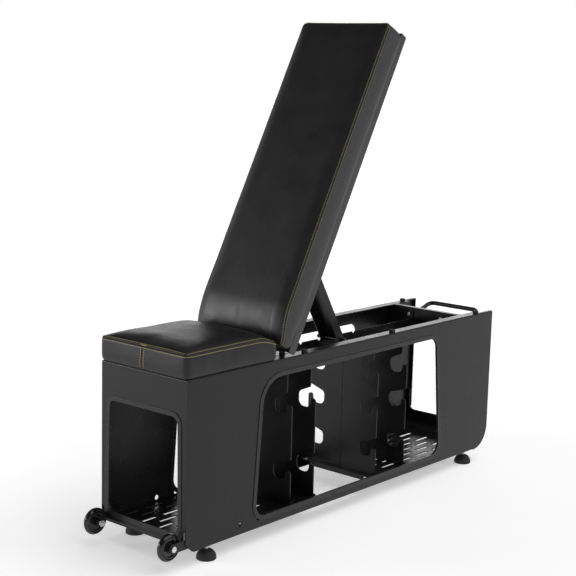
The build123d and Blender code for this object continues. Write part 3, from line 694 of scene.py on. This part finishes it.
def seat_cushion():
    """The seat: strongly crowned, with its rear edge falling towards the hinge."""
    low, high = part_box("seat_pad")
    board_low, board_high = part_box("seat_board")
    length, width = high.x - low.x, high.y - low.y
    base = board_low.z
    seam = high.z - base - SEAM_BELOW_TOP
    fall, fall_reach = 15 * MM, 62 * MM

    def seam_height(x):
        into_fall = max(0.0, x - (length / 2 - fall_reach)) / fall_reach
        return seam - fall * min(into_fall, 1.0) ** FALL_BEND

    crown = crowned(length, width, edge_rise=7.5 * MM, middle_rise=8.0 * MM, reach=46 * MM)
    board = (5 * MM, board_high.z - base + BOARD_GAP)
    cushion = Cushion(length, width, 12 * MM, board, seam_height, crown, pull=1.2 * MM)

    def wrinkle(place, normal):
        soft = noise.noise(place * 22.0) * 0.5 * MM + noise.noise(place * 70.0) * 0.18 * MM
        return soft if place.z > STILL_BELOW else 0.0

    to_place = Matrix.Translation(Vector(((low.x + high.x) / 2, 0, base)))
    upholster("seat_cushion", "seat_pad", cushion, seat_vinyl, SEAT_THREAD, "frame",
              end=-1, cap=1.6 * MM, wrinkle=wrinkle, to_place=to_place)


def backrest_cushion():
    """The backrest: long and flatter, gathered at its foot, where the top falls to the hinge."""
    low, high = flat_box("backrest_pad")
    board_low, board_high = flat_box("backrest_board")
    length, width = high.x - low.x, high.y - low.y
    wrap = 9 * MM                             # how far the cover reaches down over the pan's sides
    base = board_low.z - wrap
    seam = high.z - base - SEAM_BELOW_TOP
    fall, fall_reach = 22 * MM, 95 * MM

    def seam_height(x):
        into_fall = max(0.0, (fall_reach - length / 2) - x) / fall_reach
        return seam - fall * min(into_fall, 1.0) ** FALL_BEND

    hem_rise, hem_reach = 7 * MM, 90 * MM

    def hem(x):
        """The cover's edge rises at the foot, over the hinge brackets."""
        near_foot = 1 - (x + length / 2) / hem_reach
        return hem_rise * min(max(2 * near_foot, 0.0), 1.0)

    crown = crowned(length, width, edge_rise=7.0 * MM, middle_rise=3.0 * MM, reach=40 * MM)
    board = (5 * MM, board_high.z - base + BOARD_GAP)
    cushion = Cushion(length, width, 17 * MM, board, seam_height, crown, pull=1.0 * MM, hem=hem)
    gather_at, gather_reach = 105 * MM, 120 * MM        # from the foot, where the top panel is gathered

    def wrinkle(place, normal):
        soft = noise.noise(place * 15.0) * 0.45 * MM
        if normal.z < 0.5:
            return soft * 0.4 if place.z > STILL_BELOW else 0.0
        from_foot = place.x + length / 2
        gather = max(0.0, 1 - abs(from_foot - gather_at) / gather_reach)
        lines = noise.noise(Vector((place.x * 7.0, place.y * 150.0, 3.0)))
        lines += 0.6 * noise.noise(Vector((place.x * 11.0, place.y * 310.0, 8.0)))
        return soft + lines * gather * 0.42 * MM

    centre = Vector(((low.x + high.x) / 2, 0, base))
    to_place = raise_backrest @ Matrix.Translation(centre)
    upholster("backrest_cushion", "backrest_pad", cushion, back_vinyl, BACK_THREAD, "backrest",
              end=1, cap=1.3 * MM, wrinkle=wrinkle, to_place=to_place)


seat_cushion()
backrest_cushion()


# ---- hardware -----------------------------------------------------------------------------------
UP = Vector((0, 0, 1))
HEAD_SIDES = 36
SOCKET_SHARE = 0.52            # of a screw head's radius
SCREW_GAP = 7 * MM             # points further apart than this are on different screws
THREAD_PITCH = 1.25 * MM
THREAD_DEPTH = 0.55 * MM
THREAD_ROW = 0.25 * MM
STEM_SIDES = 24


def clusters(points, gap):
    """Points sorted into groups that stand more than a gap apart."""
    groups = []
    for point in points:
        near = [g for g in groups if any((point - other).length < gap for other in g)]
        groups = [g for g in groups if g not in near] + [sum(near, []) + [point]]
    return groups


def socket_head(points, faces, seat, axis, radius, height):
    """A domed screw head with a hexagon socket, standing on a seat along an axis."""
    sides = HEAD_SIDES
    across = axis.orthogonal().normalized()
    over = axis.cross(across)
    socket = radius * SOCKET_SHARE
    outline = [(radius * 0.96, 0.0), (radius, height * 0.12), (radius * 0.97, height * 0.42),
               (radius * 0.86, height * 0.74), (radius * 0.7, height * 0.95), (radius * 0.62, height)]
    first = len(points)

    def ring(radius_at, lift):
        for k in range(sides):
            turn = 2 * math.pi * k / sides
            reach = radius_at(turn)
            points.append(seat + axis * lift + reach * (math.cos(turn) * across + math.sin(turn) * over))

    def hexagon(turn):
        return socket * math.cos(math.pi / 6) / math.cos((turn % (math.pi / 3)) - math.pi / 6)

    for reach, lift in outline:
        ring(lambda turn, reach=reach: reach, lift)
    ring(hexagon, height * 0.97)
    ring(hexagon, height * 0.35)
    rows = len(outline) + 2
    for r in range(rows - 1):
        for k in range(sides):
            low, nxt = first + r * sides + k, first + r * sides + (k + 1) % sides
            faces.append((low, nxt, nxt + sides, low + sides))
    faces.append(tuple(first + k for k in reversed(range(sides))))
    last = first + (rows - 1) * sides
    faces.append(tuple(last + k for k in range(sides)))


def screw_heads(node, axis, body="frame", turned=Matrix.Identity(4)):
    """Socket heads in place of a node's plain discs. turned is how the node stands at rest."""
    places = [turned.inverted() @ v.co for v in frame["nodes"][node].data.vertices]
    points, faces = [], []
    for group in clusters(places, SCREW_GAP):
        low = Vector(min(p[i] for p in group) for i in range(3))
        high = Vector(max(p[i] for p in group) for i in range(3))
        size = high - low
        height = abs(size.dot(axis))
        radius = max(size[i] for i in range(3) if abs(axis[i]) < 0.5) / 2
        seat = (low + high) / 2 - axis * height / 2
        socket_head(points, faces, seat, axis, radius, height)
    heads = piece_of(node + "_heads", [turned @ p for p in points], faces, zinc, body)
    heads.data.set_sharp_from_angle(angle=math.radians(40))
    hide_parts(node)


def threaded_stem(end):
    """A levelling foot's stem with its screw thread, in place of the plain rod."""
    node = "foot_stem_" + end
    low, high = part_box(node)
    radius = (high.x - low.x) / 2
    rows = int((high.z - low.z) / THREAD_ROW)
    centre = Vector(((low.x + high.x) / 2, (low.y + high.y) / 2, 0))
    rings = []
    for row in range(rows + 1):
        z = low.z + (high.z - low.z) * row / rows
        ring = []
        for k in range(STEM_SIDES):
            phase = (z / THREAD_PITCH - k / STEM_SIDES) % 1.0
            depth = THREAD_DEPTH * abs(2 * phase - 1) if 0 < row < rows else THREAD_DEPTH
            turn = 2 * math.pi * k / STEM_SIDES
            reach = radius - depth
            ring.append(centre + Vector((reach * math.cos(turn), reach * math.sin(turn), z)))
        rings.append(ring)
    points, faces = [], []
    skin_rings(points, faces, rings)
    faces = [tuple(reversed(face)) for face in faces]
    stem = piece_of(node + "_thread", points, faces, zinc, "foot_" + end)
    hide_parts(node)


screw_heads("hook_plate_bolts", UP)
screw_heads("ladder_bolts", Vector((-1, 0, 0)))
screw_heads("seat_screws", -UP)
screw_heads("backrest_screws", -UP, body="backrest", turned=raise_backrest)
for corner in ("front_right", "front_left", "rear_right", "rear_left"):
    threaded_stem(corner)


# ---- floor, light and camera --------------------------------------------------------------------
FLOOR_REACH = 60.0
FLOOR_GLOW = (2.5, 9.0, 0.42, 0.62)        # the paper glows more from 2.5 m to 9 m away
ROOM_GLOW = [(0.0, 0.62), (0.22, 0.75), (0.42, 0.09), (0.9, 0.06)]     # by height, from the horizon up


def pale_floor():
    """A sheet of white paper that glows, more with distance, so that it fades into the background; the glow is
    painted light that also thins the bench's shadow.
    """
    mesh = bpy.data.meshes.new("floor")
    reach = FLOOR_REACH
    mesh.from_pydata([(-reach, -reach, 0), (reach, -reach, 0), (reach, reach, 0), (-reach, reach, 0)],
                     [], [(0, 1, 2, 3)])
    r = Recipe("floor_paper")
    tone = r.mask(r.noise(3.0, 3.0))
    r.shade(Base_Color=r.blend_colours(tone, (0.90, 0.90, 0.90), (0.93, 0.93, 0.93)), Roughness=0.9)
    away = r.add("ShaderNodeVectorMath", operation="LENGTH")
    r.feed(away.inputs[0], r.place)
    glow = r.spread(away.outputs["Value"], *FLOOR_GLOW)
    r.shade(Specular_IOR_Level=0.1, Emission_Color=(1.0, 1.0, 1.0, 1.0), Emission_Strength=glow)
    mesh.materials.append(r.material)
    floor = bpy.data.objects.new("floor", mesh)
    bpy.context.scene.collection.objects.link(floor)


def softbox(name, spot, aim, width, height, radiance):
    """A rectangular soft light that faces a point and is not seen directly."""
    box = bpy.data.lights.new(name, "AREA")
    box.shape = "RECTANGLE"
    box.size, box.size_y = width, height
    box.energy = radiance * math.pi * width * height
    lamp = bpy.data.objects.new(name, box)
    spot, aim = Vector(spot), Vector(aim)
    lamp.location = spot
    lamp.rotation_euler = (spot - aim).to_track_quat("Z", "Y").to_euler()
    lamp.visible_camera = False
    bpy.context.scene.collection.objects.link(lamp)


def studio_light():
    """A wide soft light overhead, low softboxes behind and to the left, and a room brightest low down."""
    softbox("far_side", spot=(3.6, 3.0, 1.15), aim=(0, 0, 0.4), width=3.6, height=1.3, radiance=1.6)
    softbox("low_left", spot=(-3.2, 2.8, 1.15), aim=(-0.2, 0, 0.5), width=1.3, height=1.1, radiance=8.0)
    overhead = bpy.data.lights.new("overhead", "SUN")
    overhead.energy = 1.6
    overhead.angle = math.radians(70)
    lamp = bpy.data.objects.new("overhead", overhead)
    lamp.rotation_euler = Vector((0.35, -0.45, 1.0)).to_track_quat("Z", "Y").to_euler()
    bpy.context.scene.collection.objects.link(lamp)

    world = bpy.data.worlds.new("room")
    bpy.context.scene.world = world
    world.use_nodes = True
    tree = world.node_tree
    background = tree.nodes["Background"]
    place = tree.nodes.new("ShaderNodeTexCoord")
    split = tree.nodes.new("ShaderNodeSeparateXYZ")
    tree.links.new(place.outputs["Generated"], split.inputs["Vector"])
    ramp = tree.nodes.new("ShaderNodeValToRGB")
    tree.links.new(split.outputs["Z"], ramp.inputs["Fac"])
    stops = ramp.color_ramp.elements
    stops[0].position, stops[1].position = ROOM_GLOW[0][0], ROOM_GLOW[-1][0]
    for height, _ in ROOM_GLOW[1:-1]:
        stops.new(height)
    for stop, (_, grey) in zip(stops, ROOM_GLOW):
        stop.color = (grey, grey, grey, 1)
    seen = tree.nodes.new("ShaderNodeLightPath")
    pick = tree.nodes.new("ShaderNodeMix")
    pick.data_type = "RGBA"
    colours = [s for s in pick.inputs if s.type == "RGBA"]
    tree.links.new(seen.outputs["Is Camera Ray"], pick.inputs["Factor"])
    tree.links.new(ramp.outputs["Color"], colours[0])
    colours[1].default_value = (1, 1, 1, 1)
    result = next(s for s in pick.outputs if s.type == "RGBA")
    tree.links.new(result, background.inputs["Color"])


def place_camera():
    """The viewer stands off the foot end's right corner, a little above the backrest's middle."""
    spot = Vector((-2.44275, -2.0164, 1.0669))
    heading, down, roll = math.radians(49.36), math.radians(9.78), math.radians(1.5)
    ahead = Vector((math.cos(down) * math.sin(heading), math.cos(down) * math.cos(heading), -math.sin(down)))
    level = Vector((math.cos(heading), -math.sin(heading), 0))
    up = level.cross(ahead)
    right = level * math.cos(roll) + up * math.sin(roll)
    over = up * math.cos(roll) - level * math.sin(roll)
    camera = bpy.data.cameras.new("camera")
    camera.lens, camera.sensor_width = 83.5, 36.0
    camera.clip_end = 200.0
    viewer = bpy.data.objects.new("camera", camera)
    turn = Matrix((right, over, -ahead)).transposed().to_4x4()
    viewer.matrix_world = Matrix.Translation(spot) @ turn
    bpy.context.scene.collection.objects.link(viewer)
    bpy.context.scene.camera = viewer


pale_floor()
studio_light()
place_camera()
bpy.context.scene.view_settings.view_transform = "Standard"
